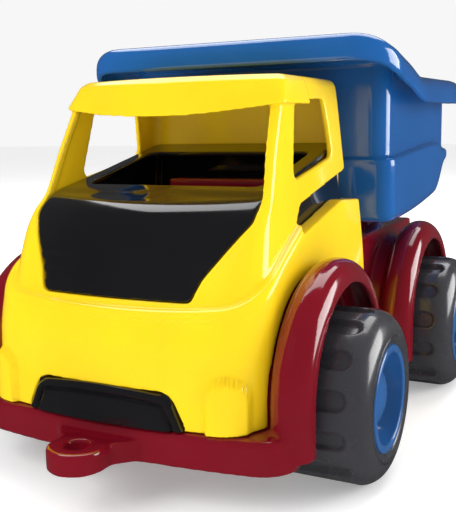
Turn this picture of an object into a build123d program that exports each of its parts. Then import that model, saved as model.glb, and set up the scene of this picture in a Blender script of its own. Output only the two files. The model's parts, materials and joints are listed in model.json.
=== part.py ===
from build123d import *
import math
import os

# Push-along tipper truck for play: moulded plastic body on four soft-tyred wheels, with a tipping bed.
# Millimetres. +Z is up, the truck faces -Y and its left side is +X. The origin is on the ground, under the
# middle of the truck's bounding box. Lengths along the cab are measured back from the front axle, and
# lengths along the bed and the rear frame are measured back from the rear axle.

# ------------------------------------------------------------------ overall
TYRE_RADIUS = 35.0
FRONT_OVERHANG = TYRE_RADIUS + 51.5  # front axle to the tip of the tow eye
WHEELBASE = 139.0
REAR_OVERHANG = 64.5  # rear axle to the end of the bed
OVERALL_LENGTH = FRONT_OVERHANG + WHEELBASE + REAR_OVERHANG
FRONT_AXLE_Y = FRONT_OVERHANG - OVERALL_LENGTH / 2
REAR_AXLE_Y = FRONT_AXLE_Y + WHEELBASE

# ------------------------------------------------------------------ clearances
FIT_GAP = 0.4  # between mouldings that nest
RUNNING_CLEARANCE = 0.08  # radial, shaft in hole
PRESS = 0.15  # radial interference of pressed pieces
MOVING_GAP = 0.8  # between pieces that move past each other

# ------------------------------------------------------------------ wheels
TYRE_WIDTH = 39.0
TYRE_OUTER_X = 97.0  # outer face of the wheels
TYRE_SHOULDER = 8.0
GROOVE_COUNT = 14
GROOVE_WIDTH = 7.6
GROOVE_DEPTH = 1.6
SIDEWALL_BAND = 8.0  # smooth band beside the outer face that the grooves stop short of
HUB_RADIUS = 21.6
HUB_RIM_WALL = 3.0
HUB_DISH_DEPTH = 12.0
HUB_WEB = 3.0
BOSS_RADIUS = 7.5
CAP_RADIUS = 13.0
CAP_HEIGHT = 8.0
CAP_SPIGOT_LENGTH = 4.0
AXLE_RADIUS = 2.5
AXLE_BOSS_RADIUS = 6.5

# ------------------------------------------------------------------ chassis
WALL = 2.8  # chassis and bed mouldings
SKIRT_BOTTOM_Z = 18.0
SILL_BOTTOM_Z = 21.0
PLATFORM_TOP_Z = 31.5
FRAME_HALF_WIDTH = 55.0
SILL_HALF_WIDTH = 62.0
FRAME_END = 50.0  # rear axle to the frame's rear end
BUMPER_REACH = TYRE_RADIUS + 26.5  # front axle to the bumper's face on the centre line
BUMPER_HALF_WIDTH = 75.0
BUMPER_CORNER_BACK = 8.0  # how far the bumper's face falls back at its corners
BUMPER_CORNER_RADIUS = 15.0
BUMPER_EDGE_RADIUS = 2.5
ARCH_RISE = 4.5  # arch centre above the axle
ARCH_SETBACK = 2.0  # arch centre behind the axle
ARCH_INNER_RADIUS = TYRE_RADIUS + 5.0  # edge of the wheel opening
ARCH_OUTER_RADIUS = ARCH_INNER_RADIUS + 10.0
ARCH_ROOT_RADIUS = ARCH_INNER_RADIUS + 2.5  # inboard of the mudguards, where the cab meets the arch
ARCH_HALF_WIDTH = 80.0
ARCH_ROUNDING = 8.4
ARCH_Z = TYRE_RADIUS + ARCH_RISE
DECK_TOP_Z = ARCH_Z + ARCH_OUTER_RADIUS - 3.5
EYE_REACH = BUMPER_REACH + 13.5  # front axle to the tow eye's hole
EYE_HOLE_RADIUS = 4.75
EYE_THICKNESS = 8.5
EYE_TOP_Z = 27.5
EYE_FLARE = 22.0
TOWER_TOP_Z = 118.0
TOWER_HALF_WIDTH = 26.0
TOWER_START = 38.0  # from the front axle
TOWER_LENGTH = 14.0

# ------------------------------------------------------------------ cab
CAB_WALL = 2.6
CAB_BOTTOM_Z = PLATFORM_TOP_Z + FIT_GAP
# each section: height, half-width, front on the centre line, front at the corners, corner radius, rear
LOWER_SECTIONS = [
    (10.0, 62.5, -60.5, -52.3, 12.0, 81.0),
    (50.0, 62.5, -59.5, -51.5, 12.0, 78.5),
    (79.0, 62.3, -55.0, -47.5, 12.0, 75.0),
    (113.0, 60.5, -47.0, -40.0, 12.0, 71.5),
]
UPPER_SECTIONS = [
    (66.0, 59.5, -54.0, -47.5, 13.0, 74.0),
    (78.0, 59.2, -51.0, -44.5, 13.0, 73.0),
    (97.0, 57.5, -43.0, -35.5, 11.0, 71.5),
    (114.0, 54.5, -29.0, -21.5, 6.0, 70.5),
    (149.5, 53.0, -14.0, -4.5, 5.0, 67.0),
    (161.5, 50.5, -5.5, 2.5, 5.0, 66.0),
    (164.0, 47.0, 1.0, 8.5, 5.0, 63.0),
]
COLLAR_LINE = [(-70.0, 74.0), (-45.0, 79.0), (-35.0, 88.0), (-22.0, 95.0), (-8.0, 100.5), (10.0, 107.0),
               (49.0, 112.0), (90.0, 106.0)]
WINDOW_LINE = [(12.5, 152.0), (47.0, 154.2), (52.5, 128.2), (3.5, 119.0)]
VENT_INNER_X = 50.0  # the vents run out at the rear outside this
VENT_LINE = [(-0.7, 99.5), (7.0, 109.5), (70.5, 121.8), (90.0, 125.6), (90.0, 107.0), (60.0, 112.3),
             (46.0, 112.3)]
HOOD_LINE = [(34.0, 78.0), (37.6, 86.0), (45.0, 98.0), (51.2, 107.0), (51.2, 114.0)]
SCREEN_LINE = [(50.4, 113.9), (46.9, 150.5)]
DASH_FRONT = (-26.0, 113.6)  # distance behind the front axle, height
DASH_REAR = (80.0, 136.6)
LINER_WALL = 2.2
HATCH_FRONT = -5.0
HATCH_REAR = 50.0
HATCH_HALF_WIDTH = 43.0
SKIRT_DEPTH = 20.0  # liner skirts below the dash
GRILLE_LINE = [(35.7, 10.0), (35.7, 33.5), (29.5, 45.5), (0.0, 47.5)]
GRILLE_PROUD = 0.8
HEADLIGHT_X = 51.2
HEADLIGHT_HALF_WIDTH = 7.4
HEADLIGHT_TOP_Z = 52.5
HEADLIGHT_PROUD = 1.6
SCREW_RADIUS = 1.5
SCREW_HEAD_RADIUS = 3.0
SCREW_HEAD_HEIGHT = 1.8
SCREW_LENGTH = 12.0
POST_RADIUS = 4.2
POST_HEIGHT = 22.0
SCREW_POSTS = [(40.0, -52.6), (40.0, 74.5)]

# ------------------------------------------------------------------ bed (from the rear axle)
BED_FRONT = -60.0
BED_LOWER_HALF_WIDTH = 73.4
BED_UPPER_HALF_WIDTH = 70.0
BED_RIM_HALF_WIDTH = 82.0
BED_RIM_REACH = 34.0  # front of the rim ahead of the front wall
BED_CORNER_RADIUS = 8.0
RIM_CORNER_RADIUS = 20.0
BED_BASE_Z = DECK_TOP_Z + 8.0  # lowest point of the bed; the heights in these lines are above it
BED_BOTTOM = [(y, BED_BASE_Z + z) for y, z in
              [(BED_FRONT, 3.0), (-56.0, 0.0), (36.0, 7.5), (56.0, 24.0), (REAR_OVERHANG, 26.0)]]
BED_LEDGE = [(y, BED_BASE_Z + z) for y, z in
             [(BED_FRONT, 31.5), (42.0, 37.5), (50.0, 30.5), (REAR_OVERHANG, 26.5)]]
RIM_TOP = [(y, BED_BASE_Z + z) for y, z in
           [(BED_FRONT - BED_RIM_REACH, 91.5), (-86.0, 88.5), (-78.0, 84.5), (-64.0, 81.5), (-50.0, 79.0),
            (-36.0, 75.0), (-25.0, 73.2), (-8.0, 72.8), (REAR_OVERHANG, 74.0)]]
LIP_HEIGHT = 14.0
HINGE_Y = 40.0
HINGE_Z = DECK_TOP_Z + 7.0
HINGE_PIN_RADIUS = 2.5
HINGE_EYE_RADIUS = 5.0
LUG_INNER_X = 24.0
LUG_WIDTH = 7.0
REST_PAD_Y = -44.0
REST_PAD_HALF_WIDTH = 30.0

FAR = 300.0  # larger than the truck
PIN_HALF_LENGTH = LUG_INNER_X + 2 * LUG_WIDTH + MOVING_GAP + 1.5
TYRE_INNER_X = TYRE_OUTER_X - TYRE_WIDTH
AXLE_HALF_LENGTH = TYRE_OUTER_X - HUB_DISH_DEPTH - 4.0
AXLES = {"front": FRONT_AXLE_Y, "rear": REAR_AXLE_Y}


# ------------------------------------------------------------------ helpers
def side_prism(points, origin_y, half_width=FAR, start_x=0.0):
    """Prism along X from (distance, height) points, from start_x to half_width; start 0 means both sides."""
    outline = make_face(Polyline(*[(origin_y + y, z) for y, z in points], close=True))
    if start_x == 0.0:
        return extrude(Plane.YZ * outline, half_width, both=True)
    return extrude(Plane.YZ.offset(start_x) * outline, half_width - start_x)


def both_sides(solid):
    """The solid and its mirror image across the truck's middle plane."""
    return solid + mirror(solid, Plane.YZ)


def front_prism(points, start_y, end_y):
    """Prism along Y from the (half-width, height) points of a symmetric outline, given bottom to top."""
    outline = list(points) + [(-x, z) for x, z in reversed(points) if x > 0]
    face = make_face(Polyline(*outline, close=True))
    return extrude(Plane.XZ.offset(-start_y) * face, start_y - end_y)


def block(x0, x1, y0, y1, z0, z1):
    """Box between two corners."""
    return Pos((x0 + x1) / 2, (y0 + y1) / 2, (z0 + z1) / 2) * Box(x1 - x0, y1 - y0, z1 - z0)


def rod_x(radius, x0, x1, y, z):
    """Cylinder along X."""
    return Pos((x0 + x1) / 2, y, z) * Rot(0, 90, 0) * Cylinder(radius, x1 - x0)


def rod_z(radius, z0, z1, x, y):
    """Cylinder along Z."""
    return Pos(x, y, (z0 + z1) / 2) * Cylinder(radius, z1 - z0)


# ------------------------------------------------------------------ wheels
def wheel_profile(points, axle_y):
    """Solid of revolution about the axle from (x, radius) points."""
    face = make_face(Polyline(*points, close=True))
    return Pos(0, axle_y, TYRE_RADIUS) * revolve(face, Axis.X, 360)


def build_tyre(axle_y):
    """Left tyre with cross grooves that run out of its inner side."""
    section = make_face(Polyline((TYRE_INNER_X, HUB_RADIUS - PRESS), (TYRE_OUTER_X, HUB_RADIUS - PRESS),
                                 (TYRE_OUTER_X, TYRE_RADIUS), (TYRE_INNER_X, TYRE_RADIUS), close=True))
    corners = section.vertices().sort_by(Axis.Y)[-2:]
    tyre = revolve(fillet(corners, TYRE_SHOULDER), Axis.X, 360)
    groove_end = TYRE_OUTER_X - SIDEWALL_BAND
    floor_radius = TYRE_RADIUS - GROOVE_DEPTH
    half = GROOVE_WIDTH / 2
    slot = block(TYRE_INNER_X - 1, groove_end, -half, half, floor_radius, TYRE_RADIUS + 2)
    slot += rod_z(GROOVE_WIDTH / 2, floor_radius, TYRE_RADIUS + 2, groove_end, 0)
    for index in range(GROOVE_COUNT):
        tyre -= Rot(360.0 * index / GROOVE_COUNT, 0, 0) * slot
    return Pos(0, axle_y, TYRE_RADIUS) * tyre


def build_hub(axle_y):
    """Left hub: rim ring, dished web and a boss with a blind bore for the axle and a bore for the cap."""
    dish_x = TYRE_OUTER_X - HUB_DISH_DEPTH
    rim_inner = HUB_RADIUS - HUB_RIM_WALL
    hub = wheel_profile([
        (TYRE_INNER_X, rim_inner), (dish_x - HUB_WEB, rim_inner), (dish_x - HUB_WEB, BOSS_RADIUS),
        (TYRE_INNER_X, BOSS_RADIUS), (TYRE_INNER_X, 0), (dish_x, 0), (dish_x, CAP_RADIUS),
        (TYRE_OUTER_X - 3.0, rim_inner - 1.0), (TYRE_OUTER_X, rim_inner), (TYRE_OUTER_X, HUB_RADIUS),
        (TYRE_INNER_X, HUB_RADIUS)], axle_y)
    return hub - rod_x(AXLE_RADIUS - PRESS, TYRE_INNER_X - 1, dish_x + 1, axle_y, TYRE_RADIUS)


def build_hub_cap(axle_y):
    """Left domed cap, with a spigot that presses into the hub's bore in front of the axle's end."""
    base_x = TYRE_OUTER_X - HUB_DISH_DEPTH + FIT_GAP / 4
    spigot_x = max(AXLE_HALF_LENGTH + FIT_GAP, base_x - CAP_SPIGOT_LENGTH)
    ball_radius = (CAP_RADIUS ** 2 + CAP_HEIGHT ** 2) / (2 * CAP_HEIGHT)
    ball_x = base_x + CAP_HEIGHT - ball_radius
    half_angle = math.asin(CAP_RADIUS / ball_radius) / 2
    middle = (ball_x + ball_radius * math.cos(half_angle), ball_radius * math.sin(half_angle))
    section = make_face([
        Line((spigot_x, 0), (spigot_x, AXLE_RADIUS)), Line((spigot_x, AXLE_RADIUS), (base_x, AXLE_RADIUS)),
        Line((base_x, AXLE_RADIUS), (base_x, CAP_RADIUS)),
        ThreePointArc((base_x, CAP_RADIUS), middle, (base_x + CAP_HEIGHT, 0)),
        Line((base_x + CAP_HEIGHT, 0), (spigot_x, 0))])
    return Pos(0, axle_y, TYRE_RADIUS) * revolve(section, Axis.X, 360)


def build_axle(axle_y):
    """Plain steel rod, pressed into both hubs."""
    return rod_x(AXLE_RADIUS, -AXLE_HALF_LENGTH, AXLE_HALF_LENGTH, axle_y, TYRE_RADIUS)


# ------------------------------------------------------------------ chassis
def arch_section():
    """Section in (x, radius): a low band between the wheels and a rounded hollow mudguard on each side."""
    root_half = LOWER_SECTIONS[0][1] + FIT_GAP
    band = Pos(0, ARCH_ROOT_RADIUS - WALL / 2) * Rectangle(2 * root_half + WALL, WALL)
    outer = make_face(Polyline(
        (root_half, ARCH_INNER_RADIUS), (ARCH_HALF_WIDTH, ARCH_INNER_RADIUS),
        (ARCH_HALF_WIDTH, ARCH_OUTER_RADIUS), (root_half, ARCH_OUTER_RADIUS), close=True))
    outer = fillet(outer.vertices().sort_by(Axis.Y)[-2:], ARCH_ROUNDING)
    low, high = root_half + WALL, ARCH_HALF_WIDTH - WALL
    hollow = make_face(Polyline((low, 0), (high, 0), (high, ARCH_OUTER_RADIUS - WALL),
                                (low, ARCH_OUTER_RADIUS - WALL), close=True))
    hollow = fillet(hollow.vertices().sort_by(Axis.Y)[-2:], ARCH_ROUNDING - WALL)
    guard = outer - hollow
    return band + guard + mirror(guard, Plane.YZ)


def build_arch(axle_y):
    """Tunnel over a pair of wheels, with straight legs below the arch's centre."""
    section = arch_section()
    band = revolve(section, Axis.X, 180)
    legs = extrude(section, amount=-(ARCH_Z - SILL_BOTTOM_Z))
    legs += mirror(legs, Plane.XZ)
    return Pos(0, axle_y + ARCH_SETBACK, ARCH_Z) * (band + legs)


def bumper_outline(inset):
    """Plan of the bumper: bowed front, rounded corners, straight back."""
    half = BUMPER_HALF_WIDTH - inset
    front = FRONT_AXLE_Y - BUMPER_REACH + inset
    back = FRONT_AXLE_Y - ARCH_INNER_RADIUS
    edge = front + BUMPER_CORNER_BACK
    face = make_face([ThreePointArc((-half, edge), (0, front), (half, edge)),
                      Line((half, edge), (half, back)),
                      Line((half, back), (-half, back)), Line((-half, back), (-half, edge))])
    return fillet(face.vertices().sort_by(Axis.Y)[:2], BUMPER_CORNER_RADIUS - inset)


def build_bumper():
    """Hollow bumper, open below, with its top edge rounded."""
    outer = Pos(0, 0, SKIRT_BOTTOM_Z) * extrude(bumper_outline(0), PLATFORM_TOP_Z - SKIRT_BOTTOM_Z)
    outer = fillet(outer.faces().sort_by(Axis.Z)[-1].edges(), BUMPER_EDGE_RADIUS)
    depth = PLATFORM_TOP_Z - WALL - SKIRT_BOTTOM_Z
    inner = Pos(0, 0, SKIRT_BOTTOM_Z - 1) * extrude(bumper_outline(WALL), depth + 1)
    return outer - inner


def build_tow_eye():
    """Flat tongue with a vertical hole, flared where it leaves the bumper."""
    eye_y = FRONT_AXLE_Y - EYE_REACH
    radius = FRONT_OVERHANG - EYE_REACH
    root_y = FRONT_AXLE_Y - BUMPER_REACH + WALL
    low = EYE_TOP_Z - EYE_THICKNESS
    neck = make_face(Polyline((-radius, eye_y), (radius, eye_y), (radius, eye_y + 5), (EYE_FLARE, root_y),
                              (-EYE_FLARE, root_y), (-radius, eye_y + 5), close=True))
    tongue = Pos(0, 0, low) * extrude(neck, EYE_THICKNESS) + rod_z(radius, low, EYE_TOP_Z, 0, eye_y)
    return tongue


def frame_sides():
    """Upright side plates that close the wheel wells and carry the axles."""
    front_arch = FRONT_AXLE_Y + ARCH_SETBACK
    rear_arch = REAR_AXLE_Y + ARCH_SETBACK
    x0, x1 = FRAME_HALF_WIDTH - WALL, FRAME_HALF_WIDTH
    y0 = FRONT_AXLE_Y - BUMPER_REACH + BUMPER_CORNER_BACK
    plate = block(x0, x1, y0, rear_arch, SILL_BOTTOM_Z, PLATFORM_TOP_Z)
    plate += rod_x(ARCH_OUTER_RADIUS - 1, x0, x1, front_arch, ARCH_Z)
    y0 = rear_arch - ARCH_OUTER_RADIUS + 1
    plate += block(x0, x1, y0, REAR_AXLE_Y + FRAME_END, SILL_BOTTOM_Z, DECK_TOP_Z)
    plate -= block(x0 - 1, x1 + 1, FRONT_AXLE_Y - FAR, REAR_AXLE_Y + FAR, -FAR, SILL_BOTTOM_Z)
    for axle_y in AXLES.values():
        plate += rod_x(AXLE_BOSS_RADIUS, x0 - 6.0, TYRE_INNER_X - 1.2, axle_y, TYRE_RADIUS)
    return both_sides(plate)


def build_platform():
    """Floor under the cab, side sills between the wheels and the raised deck under the bed."""
    front_arch_end = FRONT_AXLE_Y + ARCH_SETBACK + ARCH_OUTER_RADIUS - 1
    rear_arch_start = REAR_AXLE_Y + ARCH_SETBACK - ARCH_OUTER_RADIUS + 1
    frame_end = REAR_AXLE_Y + FRAME_END
    floor_z = PLATFORM_TOP_Z - WALL
    inner = FRAME_HALF_WIDTH - 1
    y0 = FRONT_AXLE_Y - ARCH_OUTER_RADIUS
    platform = block(-inner, inner, y0, rear_arch_start, floor_z, PLATFORM_TOP_Z)
    sill = block(inner - 1, SILL_HALF_WIDTH, front_arch_end, rear_arch_start, floor_z, PLATFORM_TOP_Z)
    x0 = SILL_HALF_WIDTH - WALL
    sill += block(x0, SILL_HALF_WIDTH, front_arch_end, rear_arch_start, SILL_BOTTOM_Z, PLATFORM_TOP_Z)
    platform += both_sides(sill)
    platform += block(-inner, inner, rear_arch_start - 1, frame_end, DECK_TOP_Z - WALL, DECK_TOP_Z)
    platform += block(-inner, inner, frame_end - WALL, frame_end, SILL_BOTTOM_Z, DECK_TOP_Z)
    platform += block(-inner, inner, rear_arch_start - 1, rear_arch_start - 1 + WALL, floor_z, DECK_TOP_Z)
    return platform


def build_tower():
    """Hollow post of the chassis that stands inside the cab."""
    y0 = FRONT_AXLE_Y + TOWER_START
    y1 = y0 + TOWER_LENGTH
    outer = block(-TOWER_HALF_WIDTH, TOWER_HALF_WIDTH, y0, y1, PLATFORM_TOP_Z - WALL, TOWER_TOP_Z)
    inner_half = TOWER_HALF_WIDTH - WALL
    floor_z = PLATFORM_TOP_Z - WALL
    return outer - block(-inner_half, inner_half, y0 + WALL, y1 - WALL, floor_z - 1, TOWER_TOP_Z - WALL)


def hinge_eye(x0, x1, root_z):
    """Eye on the hinge axis with a straight root up or down to root_z."""
    y = REAR_AXLE_Y + HINGE_Y
    low, high = sorted((HINGE_Z, root_z))
    eye = rod_x(HINGE_EYE_RADIUS, x0, x1, y, HINGE_Z)
    return eye + block(x0, x1, y - HINGE_EYE_RADIUS, y + HINGE_EYE_RADIUS, low, high)


def build_chassis():
    """One moulding: bumper, tow eye, mudguards, platform, deck, hinge lugs and rest pads."""
    chassis = build_bumper() + build_tow_eye()
    for axle_y in AXLES.values():
        chassis += build_arch(axle_y)
    chassis += frame_sides() + build_platform() + build_tower()
    chassis += both_sides(hinge_eye(LUG_INNER_X, LUG_INNER_X + LUG_WIDTH, DECK_TOP_Z - WALL))
    pad_y = REAR_AXLE_Y + REST_PAD_Y
    pad_top = bed_bottom_z(REST_PAD_Y - 2.0) - MOVING_GAP / 2
    half = REST_PAD_HALF_WIDTH
    chassis += block(-half, half, pad_y - 2, pad_y + 2, DECK_TOP_Z - WALL, pad_top)
    for axle_y in AXLES.values():
        chassis -= rod_x(AXLE_RADIUS + RUNNING_CLEARANCE, -TYRE_INNER_X, TYRE_INNER_X, axle_y, TYRE_RADIUS)
    chassis -= rod_z(EYE_HOLE_RADIUS, 0, DECK_TOP_Z, 0, FRONT_AXLE_Y - EYE_REACH)
    chassis -= rod_x(HINGE_PIN_RADIUS - PRESS, -FRAME_HALF_WIDTH, FRAME_HALF_WIDTH,
                     REAR_AXLE_Y + HINGE_Y, HINGE_Z)
    for x, y in screw_places():
        chassis -= rod_z(SCREW_RADIUS + FIT_GAP, 0, PLATFORM_TOP_Z + 1, x, y)
    return chassis


def build_bed_hinge_pin():
    """Steel pin through the chassis lugs and the bed's ears."""
    return rod_x(HINGE_PIN_RADIUS, -PIN_HALF_LENGTH, PIN_HALF_LENGTH, REAR_AXLE_Y + HINGE_Y, HINGE_Z)


# ------------------------------------------------------------------ cab
def cab_section(half_width, centre, corner, radius, rear, inset):
    """Plan of the cab at one height: bowed front with rounded corners, flat sides and rear."""
    half = half_width - inset
    front_y = FRONT_AXLE_Y + centre + inset
    corner_y = FRONT_AXLE_Y + corner + inset
    rear_y = FRONT_AXLE_Y + rear - inset
    face = make_face([ThreePointArc((-half, corner_y), (0, front_y), (half, corner_y)),
                      Line((half, corner_y), (half, rear_y)), Line((half, rear_y), (-half, rear_y)),
                      Line((-half, rear_y), (-half, corner_y))])
    return fillet(face.vertices().sort_by(Axis.Y)[:2], max(radius - inset, 0.5))


def loft_sections(sections, inset):
    """Ruled stack of plan sections, drawn in by inset at the sides, ends and top."""
    top = sections[-1][0]
    faces = []
    for height, half_width, centre, corner, radius, rear in sections:
        level = height - inset if height == top else height
        faces.append(Pos(0, 0, level) * cab_section(half_width, centre, corner, radius, rear, inset))
    return loft(faces, ruled=True)


def collar_region(inset):
    """Everything below the collar where the lower shell ends."""
    line = [(y, z - inset) for y, z in COLLAR_LINE]
    points = [(COLLAR_LINE[0][0], -FAR)] + line + [(COLLAR_LINE[-1][0], -FAR)]
    return side_prism(points, FRONT_AXLE_Y)


def cab_upper(inset):
    """Upper body from the collar to the roof."""
    return loft_sections(UPPER_SECTIONS, inset)


def cab_lower(inset):
    """Lower body, standing proud of the upper one."""
    return loft_sections(LOWER_SECTIONS, inset) & collar_region(inset)


def screw_places():
    """Plan positions of the four cab screws."""
    return [(side * x, FRONT_AXLE_Y + y) for x, y in SCREW_POSTS for side in (-1, 1)]


def hood_outline(gap):
    """Shield outline of the hood panel's opening, grown inward by gap."""
    points = [(HOOD_LINE[0][0] - gap, HOOD_LINE[0][1] + gap)] + [(x - gap, z) for x, z in HOOD_LINE[1:]]
    return points


def headlight_pad():
    """Arch-topped pad that stands proud of the lower front."""
    round_z = HEADLIGHT_TOP_Z - HEADLIGHT_HALF_WIDTH
    y0 = FRONT_AXLE_Y - FRONT_OVERHANG
    x0, x1 = HEADLIGHT_X - HEADLIGHT_HALF_WIDTH, HEADLIGHT_X + HEADLIGHT_HALF_WIDTH
    arch = block(x0, x1, y0, FRONT_AXLE_Y - 20, CAB_BOTTOM_Z, round_z)
    arch += Pos(HEADLIGHT_X, (y0 + FRONT_AXLE_Y - 20) / 2, round_z) * Rot(90, 0, 0) * Cylinder(
        HEADLIGHT_HALF_WIDTH, FRONT_AXLE_Y - 20 - y0)
    return both_sides(arch) & (cab_lower(-HEADLIGHT_PROUD) - cab_lower(1.0))


def build_cab_shell():
    """Cab moulding: lower shell, upper shell with windows, roof and visor, and the screw posts."""
    shell = cab_upper(0) + cab_lower(0)
    shell -= block(-FAR, FAR, -FAR, FAR, -FAR, CAB_BOTTOM_Z)
    shell -= cab_upper(CAB_WALL)
    shell -= cab_lower(CAB_WALL)
    y_front = FRONT_AXLE_Y - FRONT_OVERHANG
    shell -= front_prism(hood_outline(0), y_front, FRONT_AXLE_Y + 8)
    shell -= front_prism(SCREEN_LINE, y_front, FRONT_AXLE_Y + 8)
    shell -= front_prism(GRILLE_LINE, y_front, FRONT_AXLE_Y - ARCH_INNER_RADIUS)
    shell -= side_prism(WINDOW_LINE, FRONT_AXLE_Y)
    shell -= both_sides(side_prism(VENT_LINE, FRONT_AXLE_Y, start_x=VENT_INNER_X))
    clear = ARCH_ROOT_RADIUS + FIT_GAP
    arch_y = FRONT_AXLE_Y + ARCH_SETBACK
    shell += headlight_pad()
    shell -= rod_x(clear, -FAR, FAR, arch_y, ARCH_Z)
    shell -= block(-FAR, FAR, arch_y - clear, arch_y + clear, 0, ARCH_Z)
    for x, y in screw_places():
        shell += rod_z(POST_RADIUS, CAB_BOTTOM_Z, CAB_BOTTOM_Z + POST_HEIGHT, x, y)
        shell -= rod_z(SCREW_RADIUS, 0, CAB_BOTTOM_Z + SCREW_LENGTH, x, y)
    return shell


def dash_slab(thickness, drop=0.0):
    """Sloping slab whose top is the dash surface lowered by drop."""
    (y0, z0), (y1, z1) = DASH_FRONT, DASH_REAR
    points = [(y0, z0 - drop), (y1, z1 - drop), (y1, z1 - drop - thickness), (y0, z0 - drop - thickness)]
    return side_prism(points, FRONT_AXLE_Y)


def build_cab_liner():
    """Black insert: convex hood panel, dash with a hatch opening, and skirts behind the side vents."""
    y_front = FRONT_AXLE_Y - FRONT_OVERHANG
    hood = cab_upper(FIT_GAP) - cab_upper(FIT_GAP + LINER_WALL)
    hood &= front_prism(hood_outline(FIT_GAP), y_front, FRONT_AXLE_Y - 12)
    inner = CAB_WALL + FIT_GAP
    dash = cab_upper(inner) & dash_slab(LINER_WALL)
    bridge = cab_upper(FIT_GAP) & dash_slab(LINER_WALL)
    bridge_half = SCREEN_LINE[0][0] - FIT_GAP
    bridge &= front_prism([(bridge_half, 90.0), (bridge_half, 125.0)], y_front, FRONT_AXLE_Y - 15)
    skirts = (cab_upper(inner) - cab_upper(inner + LINER_WALL)) & dash_slab(SKIRT_DEPTH, LINER_WALL / 2)
    skirts &= block(-FAR, FAR, FRONT_AXLE_Y - 4, FRONT_AXLE_Y + 64, 0, FAR)
    y0, y1 = FRONT_AXLE_Y + HATCH_FRONT, FRONT_AXLE_Y + HATCH_REAR
    hatch = block(-HATCH_HALF_WIDTH, HATCH_HALF_WIDTH, y0, y1, 90, 200)
    return hood + dash + bridge + skirts - hatch


def build_front_grille():
    """Arched grille plate let into the lower front."""
    plate = cab_lower(-GRILLE_PROUD) - cab_lower(CAB_WALL)
    points = [(x - FIT_GAP if x > 0 else 0.0, z - (FIT_GAP if z > 40 else 0.0)) for x, z in GRILLE_LINE]
    plate &= front_prism(points, FRONT_AXLE_Y - FRONT_OVERHANG, FRONT_AXLE_Y - ARCH_INNER_RADIUS)
    return plate - block(-FAR, FAR, -FAR, FAR, -FAR, CAB_BOTTOM_Z)


def build_cab_screws():
    """Four identical screws, driven up through the platform into the cab's posts."""
    screws = []
    head_top = PLATFORM_TOP_Z - WALL
    for x, y in screw_places():
        screw = rod_z(SCREW_RADIUS, head_top - 0.5, CAB_BOTTOM_Z + SCREW_LENGTH - 1, x, y)
        screws.append(screw + rod_z(SCREW_HEAD_RADIUS, head_top - SCREW_HEAD_HEIGHT, head_top, x, y))
    return Compound(screws)


# ------------------------------------------------------------------ bed
def bed_bottom_z(distance):
    """Height of the bed's underside at a distance behind the rear axle."""
    for (y0, z0), (y1, z1) in zip(BED_BOTTOM, BED_BOTTOM[1:]):
        if y0 <= distance <= y1:
            return z0 + (z1 - z0) * (distance - y0) / (y1 - y0)
    return BED_BOTTOM[-1][1]


def bed_plan(half_width, front, corner_radius, low, high, rear=REAR_OVERHANG):
    """Upright block with rounded front corners, between two heights."""
    y0, y1 = REAR_AXLE_Y + front, REAR_AXLE_Y + rear
    face = Pos(0, (y0 + y1) / 2) * Rectangle(2 * half_width, y1 - y0)
    face = fillet(face.vertices().sort_by(Axis.Y)[:2], corner_radius)
    return Pos(0, 0, low) * extrude(face, high - low)


def bed_side_region(low_line, high_line, drop_low=0.0, drop_high=0.0):
    """Everything between two (distance, height) lines, each lowered by its drop."""
    points = [(y, z - drop_low) for y, z in low_line] + [(y, z - drop_high) for y, z in reversed(high_line)]
    return side_prism(points, REAR_AXLE_Y)


def build_dump_bed():
    """Basin with a sloped tail, a proud lower box, a rim that drops behind the cab, and hinge ears."""
    low, high = BED_BASE_Z - 5, RIM_TOP[0][1] + 15
    tail, open_top = REAR_OVERHANG + 10, high + 20
    rim_front = BED_FRONT - BED_RIM_REACH
    wide_bottom = [(rim_front, BED_BOTTOM[0][1])] + BED_BOTTOM
    body_region = bed_side_region(wide_bottom, RIM_TOP)
    upper = bed_plan(BED_UPPER_HALF_WIDTH, BED_FRONT + 2.5, BED_CORNER_RADIUS, low, high) & body_region
    ledge_region = bed_side_region(BED_BOTTOM, BED_LEDGE)
    lower = bed_plan(BED_LOWER_HALF_WIDTH, BED_FRONT, BED_CORNER_RADIUS, low, high) & ledge_region
    rim = bed_plan(BED_RIM_HALF_WIDTH, rim_front, RIM_CORNER_RADIUS, low, high)
    rim &= bed_side_region(RIM_TOP, RIM_TOP, drop_low=LIP_HEIGHT)
    under = bed_plan(BED_RIM_HALF_WIDTH - WALL, rim_front + WALL, RIM_CORNER_RADIUS - WALL, low, high)
    under &= bed_side_region(RIM_TOP, RIM_TOP, drop_low=LIP_HEIGHT + 5, drop_high=WALL)
    bed = upper + lower + (rim - under)
    cavity = bed_plan(BED_UPPER_HALF_WIDTH - WALL, BED_FRONT + 2.5 + WALL, BED_CORNER_RADIUS - WALL,
                      low, open_top, rear=tail)
    floor_line = [(y, z + WALL) for y, z in BED_BOTTOM[1:]]
    floor_line = [(BED_FRONT - 5, floor_line[0][1])] + floor_line + [(tail, floor_line[-1][1])]
    cavity &= bed_side_region(floor_line, [(BED_FRONT - 5, open_top), (tail, open_top)])
    bed -= cavity
    ear_x = LUG_INNER_X + LUG_WIDTH + MOVING_GAP
    bed += both_sides(hinge_eye(ear_x, ear_x + LUG_WIDTH, bed_bottom_z(HINGE_Y - HINGE_EYE_RADIUS) + 1))
    bed -= rod_x(HINGE_PIN_RADIUS + RUNNING_CLEARANCE, -FRAME_HALF_WIDTH, FRAME_HALF_WIDTH,
                 REAR_AXLE_Y + HINGE_Y, HINGE_Z)
    return bed


# ------------------------------------------------------------------ write the parts
def write_part(name, shape):
    """Write one node's STEP file."""
    export_step(shape, os.path.join("parts", name + ".step"))


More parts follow.
